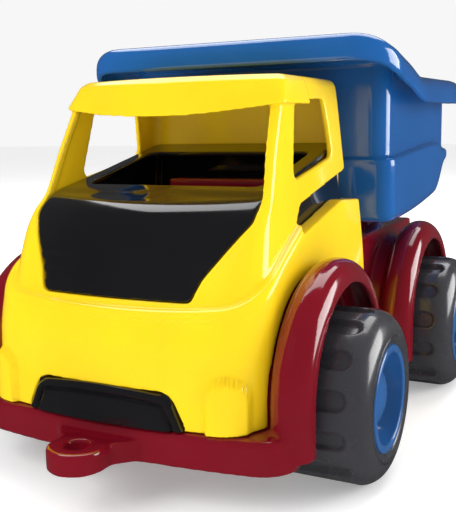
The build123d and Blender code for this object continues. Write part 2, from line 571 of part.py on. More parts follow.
def main():
    """Build every piece and write it."""
    os.makedirs("parts", exist_ok=True)
    write_part("chassis", build_chassis())
    write_part("bed_hinge_pin", build_bed_hinge_pin())
    write_part("cab_shell", build_cab_shell())
    write_part("cab_liner", build_cab_liner())
    write_part("front_grille", build_front_grille())
    write_part("cab_screws", build_cab_screws())
    write_part("dump_bed", build_dump_bed())
    for place, axle_y in AXLES.items():
        write_part(place + "_axle", build_axle(axle_y))
        for name, piece in (("tyre", build_tyre(axle_y)), ("hub", build_hub(axle_y)),
                            ("hub_cap", build_hub_cap(axle_y))):
            write_part(place + "_left_" + name, piece)
            write_part(place + "_right_" + name, mirror(piece, Plane.YZ))


main()
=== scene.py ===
"""Looks of the push-along tipper truck: moulded shells, soft tyres, studio and camera."""

import json
import logging
from dataclasses import dataclass, field
from enum import Enum
from typing import Callable, Sequence

import bmesh
import bpy
import numpy as np
from mathutils import Matrix, Vector


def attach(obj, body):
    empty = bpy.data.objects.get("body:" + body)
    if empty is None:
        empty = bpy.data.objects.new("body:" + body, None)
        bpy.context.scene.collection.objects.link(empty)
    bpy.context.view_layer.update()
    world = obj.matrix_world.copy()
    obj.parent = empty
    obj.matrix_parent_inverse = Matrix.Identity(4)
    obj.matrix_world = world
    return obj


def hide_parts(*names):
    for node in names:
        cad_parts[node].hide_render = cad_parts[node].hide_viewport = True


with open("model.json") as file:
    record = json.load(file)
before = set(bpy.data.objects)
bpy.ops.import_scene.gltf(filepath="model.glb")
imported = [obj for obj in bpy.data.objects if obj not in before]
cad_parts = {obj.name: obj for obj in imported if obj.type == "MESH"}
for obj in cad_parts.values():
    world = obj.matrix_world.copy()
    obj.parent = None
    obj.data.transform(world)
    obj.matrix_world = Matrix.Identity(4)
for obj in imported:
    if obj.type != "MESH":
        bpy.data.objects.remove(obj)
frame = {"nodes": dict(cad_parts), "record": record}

LOG = logging.getLogger("truck")
MM = 0.001
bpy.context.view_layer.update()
QUARTER = np.linspace(0, np.pi / 2, 8)[1:]  # steps round a rounded edge, from its foot
MIDDLE = (0.3, 0.7)  # where most of a noise's values lie

Array = np.ndarray
Outline = Callable[[float], Array]
Height = Callable[[Array], Array]
Part = tuple[Array, list[tuple[int, ...]]]
Piece = bpy.types.Object
Socket = bpy.types.NodeSocket
Row = tuple[float, ...]
Line = tuple[tuple[float, float], ...]
Points = Sequence[tuple[float, float]]


# ---------- where the frame puts things
@dataclass(frozen=True)
class Layout:
    """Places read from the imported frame, in millimetres."""

    front_axle_y: float
    rear_axle_y: float
    axle_z: float
    hinge_y: float
    hinge_z: float

    @staticmethod
    def read() -> "Layout":
        """Read the joints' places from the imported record."""
        joints = {j["name"]: j for j in frame["record"]["behaviour"]["joints"]}
        front = joints["front_axle_spin"]["pos_m"]
        rear = joints["rear_axle_spin"]["pos_m"]
        hinge = joints["bed_tip"]["pos_m"]
        return Layout(front[1] / MM, rear[1] / MM, front[2] / MM, hinge[1] / MM, hinge[2] / MM)


# ---------- curves and surfaces
def curve_through(at: Array, knots: Sequence[float], values: Sequence[float]) -> Array:
    """Smooth curve through knots that never overshoots them.

    Cubic Hermite pieces whose slope at a knot is the harmonic mean of its two neighbours' slopes, or zero
    where those differ in sign. Outside the knots the end values hold.

    Args:
        at: places to evaluate.
        knots: rising places of the knots.
        values: values at the knots.

    Returns:
        One value for each place.
    """
    x = np.asarray(knots, float)
    y = np.asarray(values, float)
    step = np.diff(x)
    slope = np.diff(y) / step
    inner = np.zeros(len(x))
    same = slope[:-1] * slope[1:] > 0
    total = np.where(same, slope[:-1] + slope[1:], 1.0)
    inner[1:-1] = np.where(same, 2 * slope[:-1] * slope[1:] / total, 0.0)
    inner[0], inner[-1] = slope[0], slope[-1]
    place = np.clip(np.asarray(at, float), x[0], x[-1])
    i = np.clip(np.searchsorted(x, place, side="right") - 1, 0, len(x) - 2)
    t = (place - x[i]) / step[i]
    return ((1 + 2 * t) * (1 - t) ** 2 * y[i] + t * (1 - t) ** 2 * step[i] * inner[i]
            + t * t * (3 - 2 * t) * y[i + 1] - t * t * (1 - t) * step[i] * inner[i + 1])


def rounded_outline(corners: Points, radii: Row, arc: int = 10, run: int = 14) -> Array:
    """Closed outline with round corners.

    Each corner is a circular arc written as a rational quadratic whose middle weight is the sine of half the
    corner's angle. Straight runs between arcs are divided evenly.

    Args:
        corners: corner points, anticlockwise.
        radii: one radius for each corner.
        arc: points on each arc.
        run: points inside each straight run.

    Returns:
        Points of the outline, shape (n, 2).
    """
    c = np.asarray(corners, float)
    r = np.asarray(radii, float)[:, None]
    back = np.roll(c, 1, axis=0) - c
    ahead = np.roll(c, -1, axis=0) - c
    back /= np.linalg.norm(back, axis=1, keepdims=True)
    ahead /= np.linalg.norm(ahead, axis=1, keepdims=True)
    half = 0.5 * np.arccos(np.clip((back * ahead).sum(1, keepdims=True), -1, 1))
    reach = r / np.tan(half)
    start, end = c + back * reach, c + ahead * reach
    s = np.linspace(0, 1, arc)[None, :, None]
    w = np.sin(half)[:, :, None]
    top = (1 - s) ** 2 * start[:, None] + 2 * s * (1 - s) * w * c[:, None] + s ** 2 * end[:, None]
    bend = top / ((1 - s) ** 2 + 2 * s * (1 - s) * w + s ** 2)
    t = np.linspace(0, 1, run + 2)[1:-1][None, :, None]
    straight = end[:, None] * (1 - t) + np.roll(start, -1, axis=0)[:, None] * t
    return np.concatenate([bend, straight], axis=1).reshape(-1, 2)


def mirrored(points: Points) -> Points:
    """Outline through the given right half and its mirror image, in order."""
    return [(x, z) for x, z in points] + [(-x, z) for x, z in reversed(points)]


def oblong(half: float, start: float, end: float, near: float, far: float, arc: int = 10,
           run: int = 14) -> Array:
    """Oblong outline of a half-width from start to end, with a radius for its near and its far corners."""
    corners = [(-half, start), (half, start), (half, end), (-half, end)]
    return rounded_outline(corners, [near, near, far, far], arc, run)


def ring_faces(rows: int, count: int, first: int = 0) -> list[tuple[int, ...]]:
    """Quads between successive closed rings of the same number of points."""
    i, j = np.meshgrid(np.arange(rows - 1), np.arange(count), indexing="ij")
    k = (j + 1) % count
    quads = np.stack([i * count + j, i * count + k, (i + 1) * count + k, (i + 1) * count + j], axis=-1)
    return [tuple(q) for q in (quads.reshape(-1, 4) + first).tolist()]


def stack(rings: Array, capped: bool = True) -> Part:
    """Closed part from rings stacked along a path.

    Args:
        rings: points, shape (rows, count, 3), each ring anticlockwise seen from the last ring's side.
        capped: whether the first and last rings are closed with a face.

    Returns:
        Vertices and faces.
    """
    rows, count = rings.shape[:2]
    faces = ring_faces(rows, count)
    if capped:
        faces.append(tuple(range(count - 1, -1, -1)))
        faces.append(tuple((rows - 1) * count + np.arange(count)))
    return rings.reshape(-1, 3), faces


def torus(rings: Array) -> Part:
    """Closed part from rings whose last one joins the first."""
    rows, count = rings.shape[:2]
    closed = ring_faces(rows + 1, count)
    faces = [tuple(v % (rows * count) for v in f) for f in closed]
    return rings.reshape(-1, 3), faces


def column(outline: Outline, low: Height, high: Height,
           round_low: float = 0.0, round_high: float = 0.0, rows: int = 8, cap_rows: int = 26) -> Part:
    """Upright solid between two surfaces that depend on y alone.

    Side rows are the outline at an even share of the height. A rounded edge is a quarter circle: the outline
    is drawn in by r(1 - cos a) while the height runs r sin a from the edge. Each end is closed by rows that
    shrink to the middle of the outline and take the surface's height where they are.

    Args:
        outline: gives the plan outline, drawn in by its argument.
        low: height of the lower surface at y.
        high: height of the upper surface at y.
        round_low: radius of the lower edge.
        round_high: radius of the upper edge.
        rows: rows on the side.
        cap_rows: rows on each end.

    Returns:
        Vertices and faces.
    """
    turn = np.linspace(0, np.pi / 2, 7)
    rings = []

    def ring(inset: float, shrink: float, height: Height, shift: float) -> None:
        """Add one ring, shrunk towards the middle of the outline."""
        plan = outline(inset)
        middle = 0.5 * (plan[:, 1].min() + plan[:, 1].max())
        plan = np.column_stack([plan[:, 0] * shrink, middle + (plan[:, 1] - middle) * shrink])
        rings.append(np.column_stack([plan, height(plan[:, 1]) + shift]))

    for f in np.linspace(0, 1, cap_rows, endpoint=False):
        ring(round_low, f, low, 0.0)
    for a in (turn[::-1] if round_low else (np.pi / 2,)):
        ring(round_low * (1 - np.cos(a)), 1.0, low, round_low * (1 - np.sin(a)))
    for t in np.linspace(0, 1, rows + 2)[1:-1]:
        plan = outline(0.0)
        z0 = low(plan[:, 1]) + round_low
        z1 = high(plan[:, 1]) - round_high
        rings.append(np.column_stack([plan, z0 * (1 - t) + z1 * t]))
    for a in (turn if round_high else (0.0,)):
        ring(round_high * (1 - np.cos(a)), 1.0, high, -round_high * (1 - np.sin(a)))
    for f in np.linspace(0, 1, cap_rows, endpoint=False)[::-1]:
        ring(round_high, f, high, 0.0)
    return stack(np.array(rings), capped=False)


def prism(outline: Array, axis: str, start: float, end: float) -> Part:
    """Straight prism of an outline along an axis.

    Args:
        outline: (n, 2) points: (y, z) for axis x, (x, z) for axis y, (x, y) for axis z.
        axis: x, y or z.
        start: place of the first end.
        end: place of the other end, above the first.

    Returns:
        Vertices and faces.
    """
    level = np.array([start, end])[:, None] * np.ones(len(outline))
    a, b = np.broadcast_to(outline.T[:, None, :], (2, 2, len(outline)))
    order = {"x": (level, a, b), "y": (a, level, b), "z": (a, b, level)}[axis]
    rings = np.stack(order, axis=-1)
    return stack(rings[::-1] if axis == "y" else rings)


def revolve(profile: Array, turns: int = 128) -> Array:
    """Rings about the X axis from (x, radius) points: the y of each point is r cos a and its z is r sin a."""
    a = np.linspace(0, 2 * np.pi, turns, endpoint=False)[None, :]
    x = np.broadcast_to(profile[:, :1], (len(profile), turns))
    r = profile[:, 1:]
    return np.stack([x, r * np.cos(a), r * np.sin(a)], axis=-1)


def smoothstep(value: Array, low: float, high: float) -> Array:
    """Rise from 0 at low to 1 at high with level ends."""
    t = np.clip((value - low) / (high - low), 0, 1)
    return t * t * (3 - 2 * t)


# ---------- mesh tools
class Boolean(Enum):
    """Ways to combine two closed solids."""

    UNION = "UNION"
    DIFFERENCE = "DIFFERENCE"
    INTERSECT = "INTERSECT"


def make_object(name: str, parts: Sequence[Part]) -> Piece:
    """Object from closed parts given in millimetres.

    Args:
        name: the object's name.
        parts: vertices and faces of each part.

    Returns:
        The linked object, with doubles merged and faces pointing outwards.
    """
    points, faces, first = [], [], 0
    for vertices, part_faces in parts:
        points.append(vertices)
        faces += [tuple(int(v) + first for v in f) for f in part_faces]
        first += len(vertices)
    mesh = bpy.data.meshes.new(name)
    mesh.from_pydata((np.concatenate(points) * MM).tolist(), [], faces)
    tool = bmesh.new()
    tool.from_mesh(mesh)
    bmesh.ops.remove_doubles(tool, verts=tool.verts, dist=1e-6)
    bmesh.ops.dissolve_degenerate(tool, edges=tool.edges, dist=1e-7)
    bmesh.ops.recalc_face_normals(tool, faces=tool.faces)
    tool.to_mesh(mesh)
    tool.free()
    piece = bpy.data.objects.new(name, mesh)
    bpy.context.scene.collection.objects.link(piece)
    return piece


def settle(piece: Piece) -> None:
    """Apply the piece's modifiers to its mesh."""
    bpy.context.view_layer.update()
    graph = bpy.context.evaluated_depsgraph_get()
    mesh = bpy.data.meshes.new_from_object(piece.evaluated_get(graph))
    old = piece.data
    piece.modifiers.clear()
    piece.data = mesh
    bpy.data.meshes.remove(old)
    mesh.name = piece.name


def fuse(piece: Piece, other: Piece, operation: Boolean = Boolean.UNION) -> None:
    """Combine the piece with another object, which is used up."""
    modifier = piece.modifiers.new("fuse", "BOOLEAN")
    modifier.object = other
    modifier.operation = operation.value
    modifier.solver = "EXACT"
    settle(piece)
    bpy.data.objects.remove(other)


def combine(piece: Piece, parts: Sequence[Part], operation: Boolean) -> None:
    """Combine the piece with each closed part in turn."""
    for part in parts:
        fuse(piece, make_object("tool", [part]), operation)


def append(piece: Piece, other: Piece) -> None:
    """Add another object's mesh to the piece's, and remove the other."""
    joined = bmesh.new()
    joined.from_mesh(piece.data)
    joined.from_mesh(other.data)
    joined.to_mesh(piece.data)
    joined.free()
    bpy.data.objects.remove(other)


def remould(piece: Piece, pitch: float, passes: int, most: int = 190000) -> None:
    """Remake the piece as one even skin and relax it, which rounds its edges as a mould does.

    Args:
        piece: closed object, whose parts may overlap.
        pitch: size of the new faces, in millimetres.
        passes: relaxing passes.
        most: triangles to keep.
    """
    remesh = piece.modifiers.new("skin", "REMESH")
    remesh.mode = "VOXEL"
    remesh.voxel_size = pitch * MM
    relax = piece.modifiers.new("relax", "SMOOTH")
    relax.factor = 0.5
    relax.iterations = passes
    settle(piece)
    count = 2 * len(piece.data.polygons)
    if count > most:
        thin = piece.modifiers.new("thin", "DECIMATE")
        thin.ratio = most / count
        settle(piece)


def shade_smooth(piece: Piece, angle: float = 180.0) -> None:
    """Shade smooth, with edges sharper than the angle in degrees kept crisp."""
    mesh = piece.data
    mesh.polygons.foreach_set("use_smooth", np.ones(len(mesh.polygons), bool))
    if angle < 180.0:
        mesh.set_sharp_from_angle(angle=np.radians(angle))
    mesh.update()


def points_of(mesh: bpy.types.Mesh) -> Array:
    """Vertex places in millimetres, shape (n, 3)."""
    flat = np.empty(len(mesh.vertices) * 3)
    mesh.vertices.foreach_get("co", flat)
    return flat.reshape(-1, 3) / MM


def put_points(mesh: bpy.types.Mesh, points: Array) -> None:
    """Write vertex places given in millimetres."""
    mesh.vertices.foreach_set("co", (points * MM).ravel())
    mesh.update()


def copy_of_node(node: str, name: str) -> Piece:
    """Merged copy of a CAD node's mesh as a new object."""
    piece = bpy.data.objects.new(name, frame["nodes"][node].data.copy())
    bpy.context.scene.collection.objects.link(piece)
    tool = bmesh.new()
    tool.from_mesh(piece.data)
    bmesh.ops.remove_doubles(tool, verts=tool.verts, dist=2e-6)
    tool.to_mesh(piece.data)
    tool.free()
    return piece


# ---------- finishes
class Gloss(Enum):
    """Range of roughness that a way of making leaves on a surface."""

    POLISHED = (0.102, 0.15)
    SOFT = (0.2, 0.3)
    DRAWN = (0.2, 0.38)


class Shading:
    """A new node material and the textures that the finishes share, in object coordinates."""

    def __init__(self, name: str) -> None:
        """Start a material with its shader."""
        self.material = bpy.data.materials.new(name)
        self.material.use_nodes = True
        self.tree = self.material.node_tree
        self.shader = self.tree.nodes["Principled BSDF"]
        self.places = self.tree.nodes.new("ShaderNodeTexCoord").outputs["Object"]

    def put(self, **values: float | Row) -> None:
        """Set the shader's uniform values, named with _ for each space."""
        for name, value in values.items():
            self.shader.inputs[name.replace("_", " ")].default_value = value

    def noise(self, scale: float, detail: float, places: Socket | None = None) -> Socket:
        """Noise of a scale in features per metre, or in features per unit of the given places."""
        node = self.tree.nodes.new("ShaderNodeTexNoise")
        node.inputs["Scale"].default_value = scale
        node.inputs["Detail"].default_value = detail
        self.tree.links.new(places or self.places, node.inputs["Vector"])
        return node.outputs["Fac"]

    def stretched(self, scale: Row, turn: Row = (0.0, 0.0, 0.0)) -> Socket:
        """Places scaled along each axis and turned, which draws a noise out into lines."""
        node = self.tree.nodes.new("ShaderNodeMapping")
        node.inputs["Scale"].default_value = scale
        node.inputs["Rotation"].default_value = turn
        self.tree.links.new(self.places, node.inputs["Vector"])
        return node.outputs["Vector"]

    def colour(self, factor: Socket, stops: Sequence[tuple[float, Row]]) -> None:
        """Base colour from a factor, through two stops of place and colour."""
        node = self.tree.nodes.new("ShaderNodeValToRGB")
        for element, (place, colour) in zip(node.color_ramp.elements, stops):
            element.position = place
            element.color = tuple(colour) + (1.0,)
        self.tree.links.new(factor, node.inputs["Fac"])
        self.tree.links.new(node.outputs["Color"], self.shader.inputs["Base Color"])

    def roughness(self, factor: Socket, gloss: Gloss) -> None:
        """Roughness that runs over the gloss's range as the factor runs over its middle."""
        node = self.tree.nodes.new("ShaderNodeMapRange")
        ends = (*MIDDLE, *gloss.value)
        for name, value in zip(("From Min", "From Max", "To Min", "To Max"), ends):
            node.inputs[name].default_value = value
        self.tree.links.new(factor, node.inputs["Value"])
        self.tree.links.new(node.outputs["Result"], self.shader.inputs["Roughness"])

    def bump(self, height: Socket, depth: float) -> None:
        """Bump of a depth in millimetres on the shader's normal."""
        node = self.tree.nodes.new("ShaderNodeBump")
        node.inputs["Distance"].default_value = depth * MM
        self.tree.links.new(height, node.inputs["Height"])
        self.tree.links.new(node.outputs["Normal"], self.shader.inputs["Normal"])


@dataclass(frozen=True)
class Plastic:
    """Moulded plastic: a body colour with faint flow clouds, an uneven gloss and fine scuffs.

    Attributes:
        colour: linear red, green and blue of the body.
        clouds: share by which the colour varies over a hand's width.
        scuff: height of the fine scratches, in millimetres.
        coat: weight of the clear reflection on top.
        depth: weight of light that travels under the surface.
    """

    name: str
    colour: Row
    clouds: float = 0.06
    scuff: float = 0.012
    coat: float = 0.6
    depth: float = 0.0

    def build(self) -> bpy.types.Material:
        """Make the node material.

        Noise of about 40 mm mixes two shades of the body colour. Roughness follows a 9 mm noise, and the bump
        sums a 2 mm orange peel and a quarter of the stretched scratches.

        Returns:
            The material.
        """
        shading = Shading(self.name)
        dark = tuple(c * (1 - self.clouds) for c in self.colour)
        light = tuple(c * (1 + self.clouds) for c in self.colour)
        shading.colour(shading.noise(24.0, 2.0), list(zip(MIDDLE, (dark, light))))
        shading.roughness(shading.noise(110.0, 3.0), Gloss.POLISHED)
        scratch = shading.noise(1.0, 2.0, shading.stretched((260.0, 1900.0, 700.0), (0.3, 0.2, 0.7)))
        height = shading.tree.nodes.new("ShaderNodeMath")
        height.operation = "MULTIPLY_ADD"
        height.inputs[1].default_value = 0.25
        shading.tree.links.new(scratch, height.inputs[0])
        shading.tree.links.new(shading.noise(420.0, 1.0), height.inputs[2])
        shading.bump(height.outputs[0], self.scuff)
        shading.put(Coat_Weight=self.coat, Coat_Roughness=0.05, IOR=1.5)
        if self.depth:
            shading.put(Subsurface_Weight=self.depth, Subsurface_Scale=0.002,
                        Subsurface_Radius=(1.0, 0.6, 0.2))
        return shading.material


@dataclass(frozen=True)
class SoftTyre:
    """Soft moulded tyre: charcoal, half gloss, with fine grain and a bloom of dust."""

    name: str = "soft_tyre"
    colour: Row = (0.036, 0.036, 0.043)
    dust: Row = (0.05, 0.05, 0.056)
    grain: float = 0.03

    def build(self) -> bpy.types.Material:
        """Make the node material: one noise for the dust, one for the gloss and one for the grain.

        Returns:
            The material.
        """
        shading = Shading(self.name)
        shading.colour(shading.noise(38.0, 5.0), [(0.45, self.colour), (0.8, self.dust)])
        shading.roughness(shading.noise(160.0, 4.0), Gloss.SOFT)
        shading.bump(shading.noise(900.0, 2.0), self.grain)
        shading.put(Coat_Weight=0.6, Coat_Roughness=0.1)
        return shading.material


@dataclass(frozen=True)
class DrawnSteel:
    """Bright drawn wire with fine lines along the rod."""

    name: str = "drawn_steel"
    colour: Row = (0.55, 0.55, 0.57)
    shade: float = 0.8
    line_height: float = 0.01

    def build(self) -> bpy.types.Material:
        """Make the node material: noise stretched along X for the drawing lines.

        Returns:
            The material.
        """
        shading = Shading(self.name)
        drawn = shading.noise(1.0, 3.0, shading.stretched((30.0, 1400.0, 1400.0)))
        tone = tuple(c * self.shade for c in self.colour)
        shading.colour(drawn, list(zip(MIDDLE, (tone, self.colour))))
        shading.roughness(drawn, Gloss.DRAWN)
        shading.bump(drawn, self.line_height)
        shading.put(Metallic=1.0)
        return shading.material


@dataclass
class Finishes:
    """Every finish on the truck, by the record's slot."""

    made: dict[str, bpy.types.Material] = field(default_factory=dict)

    def build(self) -> "Finishes":
        """Make one material for each slot."""
        recipes = {
            "yellow_plastic": Plastic("yellow_shell", (0.92, 0.62, 0.012), depth=0.12, coat=0.2),
            "red_plastic": Plastic("dark_red_moulding", (0.17, 0.0035, 0.011)),
            "blue_plastic": Plastic("blue_moulding", (0.012, 0.1, 0.33)),
            "black_plastic": Plastic("black_moulding", (0.006, 0.006, 0.007), clouds=0.2, coat=0.7),
            "hub_plastic": Plastic("hub_blue", (0.024, 0.1, 0.28), coat=0.5),
            "tyre": SoftTyre(),
            "steel": DrawnSteel(),
        }
        self.made = {slot: recipe.build() for slot, recipe in recipes.items()}
        return self

    def dress(self, piece: Piece, slot: str) -> None:
        """Give a piece the slot's material as its only one."""
        piece.data.materials.clear()
        piece.data.materials.append(self.made[slot])


def hand_over(piece: Piece, finishes: Finishes, slot: str, body: str, nodes: Sequence[str]) -> None:
    """Dress a finished piece, let it ride on its body and stand for its CAD nodes.

    Args:
        piece: the finished piece.
        finishes: the finishes.
        slot: the record's slot.
        body: the body it rides on.
        nodes: the CAD nodes it stands for.
    """
    finishes.dress(piece, slot)
    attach(piece, body)
    if nodes:
        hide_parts(*nodes)
    LOG.info("%s: %d faces on %s", piece.name, len(piece.data.polygons), body)


# ---------- wheels
@dataclass
class Wheel:
    """One wheel: grooved tyre, dished hub and domed cap. Radii are measured from the axle."""

    place: str
    side: str
    layout: Layout
    outer_x: float = 97.0  # outer face of the tyre
    width: float = 39.0
    radius: float = 35.0
    hub_radius: float = 21.6  # where the tyre starts
    lugs: int = 14
    groove_depth: float = 2.1
    groove_end: float = 8.0  # from the outer face to the groove's nose
    shoulder: float = 10.0
    inner_shoulder: float = 5.0
    swell: float = 1.2  # of the sidewall beyond its foot at the hub
    lip: float = 1.6
    lip_round: float = 0.8
    recess: float = 0.2  # hub's face behind the tyre's
    dish_floor: float = 1.5  # width of the dish's flat floor outside the cap
    hub_wall: float = 3.0
    sleeve: Row = (2.6, 7.5)  # radii of the sleeve round the axle
    dish_depth: float = 11.5
    cap_radius: float = 14.2
    cap_height: float = 9.0

    def node(self, part: str) -> str:
        """CAD node of a part of this wheel."""
        return f"{self.place}_{self.side}_{part}"

    def put(self, rings: Array) -> Array:
        """Move rings about the X axis to this wheel's place, mirrored for the right side."""
        axle_y = self.layout.front_axle_y if self.place == "front" else self.layout.rear_axle_y
        placed = rings + np.array([0.0, axle_y, self.layout.axle_z])
        return placed if self.side == "left" else placed[::-1] * np.array([-1.0, 1.0, 1.0])

    def tyre_profile(self) -> Array:
        """Closed (x, radius) profile: bore, domed sidewall, round shoulders and a slightly crowned tread."""
        outer, inner = self.outer_x, self.outer_x - self.width
        turn = np.linspace(0, np.pi / 2, 16)
        wall = np.linspace(0, 1, 12)
        foot, seat = outer - self.swell, self.hub_radius + 0.1
        side = np.column_stack([foot + self.swell * np.sin(wall * np.pi / 2),
                                seat + (self.radius - self.shoulder - self.hub_radius) * wall])
        shoulder = np.column_stack([outer - self.shoulder * (1 - np.cos(turn)),
                                    self.radius - self.shoulder * (1 - np.sin(turn))])
        x = np.linspace(outer - self.shoulder, inner + self.inner_shoulder, 34)[1:-1]
        tread = np.column_stack([x, np.full_like(x, self.radius)])
        back = np.column_stack([inner + self.inner_shoulder * (1 - np.sin(turn)),
                                self.radius - self.inner_shoulder * (1 - np.cos(turn))])
        bore = np.column_stack([np.linspace(inner, foot, 6), np.full(6, self.hub_radius - 0.4)])
        return np.concatenate([side, shoulder, tread, back, bore])

    def turned(self, part: str, rings: Array, crisp: float = 180.0) -> Piece:
        """Piece of this wheel from rings about its axle, with edges sharper than an angle kept crisp."""
        piece = make_object(self.node(part), [torus(self.put(rings))])
        shade_smooth(piece, crisp)
        return piece

    def build_tyre(self) -> Piece:
        """Tyre whose radius falls in the grooves.

        The drop is the groove depth times two smooth steps: one across the groove, from the distance to its
        centre line along the tread, and one along the axle, which ends the groove in a round nose short of
        the outer shoulder.

        Returns:
            The tyre.
        """
        profile = self.tyre_profile()
        rings = revolve(profile, self.lugs * 36)
        angle = np.arctan2(rings[..., 2], rings[..., 1])
        radius = np.hypot(rings[..., 1], rings[..., 2])
        period = 2 * np.pi / self.lugs
        across = (np.mod(angle, period) / period - 0.5) * period * self.radius
        half_width = 0.25 * period * self.radius
        nose = self.outer_x - self.groove_end
        along = np.maximum(rings[..., 0] - (nose - half_width), 0.0)
        distance = np.hypot(across, along)
        depth = self.groove_depth * (1 - smoothstep(distance, half_width - 0.6, half_width + 0.5))
        depth = depth * smoothstep(radius, self.radius - 9.0, self.radius - 5.0)
        factor = 1 - depth / np.maximum(radius, 1.0)
        rings[..., 1] *= factor
        rings[..., 2] *= factor
        return self.turned("tyre_skin", rings)

    def build_hub(self) -> Piece:
        """Hub: rounded lip, dish that falls steeply and levels at its floor, barrel behind."""
        rim, start, end = self.hub_radius, self.hub_radius - 2 * self.lip, self.cap_radius - self.dish_floor
        foot = self.outer_x - self.recess - self.lip_round
        turn = np.linspace(0, np.pi, 12)
        lip = np.column_stack([foot + self.lip_round * np.sin(turn),
                               rim - self.lip + self.lip * np.cos(turn)])
        t = np.linspace(0, 1, 24)[1:]
        dish = np.column_stack([foot - (self.dish_depth - self.lip_round) * np.sin(t * np.pi / 2),
                                start + (end - start) * t ** 1.6])
        floor, inner = dish[-1, 0], self.outer_x - self.width
        web, barrel = floor - self.hub_wall, rim - self.hub_wall
        bore, sleeve = self.sleeve
        back = [(floor, 6.0), (floor, 0.02), (web, 0.02), (inner, bore), (inner, sleeve), (web, sleeve),
                (web, barrel), (inner, barrel), (inner, rim), (foot, rim)]
        return self.turned("hub_skin", revolve(np.concatenate([lip, dish, back])), 40.0)

    def build_cap(self) -> Piece:
        """Domed cap: an ellipse quarter turned about the axle, with a small rounded foot."""
        base = self.outer_x - self.dish_depth - 0.3
        turn = np.linspace(0, np.pi / 2, 22)
        dome = np.column_stack([base + 1.0 + (self.cap_height - 1.0) * np.sin(turn),
                                np.maximum(self.cap_radius * np.cos(turn), 0.02)])
        profile = np.concatenate([[(base, 0.02), (base, self.cap_radius)], dome])
        return self.turned("hub_cap_skin", revolve(profile), 50.0)

    def build(self, finishes: Finishes) -> None:
        """Build the wheel's pieces and hand them over."""
        body = f"{self.place}_wheels"
        hand_over(self.build_tyre(), finishes, "tyre", body, [self.node("tyre")])
        hand_over(self.build_hub(), finishes, "hub_plastic", body, [self.node("hub")])
        hand_over(self.build_cap(), finishes, "hub_plastic", body, [self.node("hub_cap")])


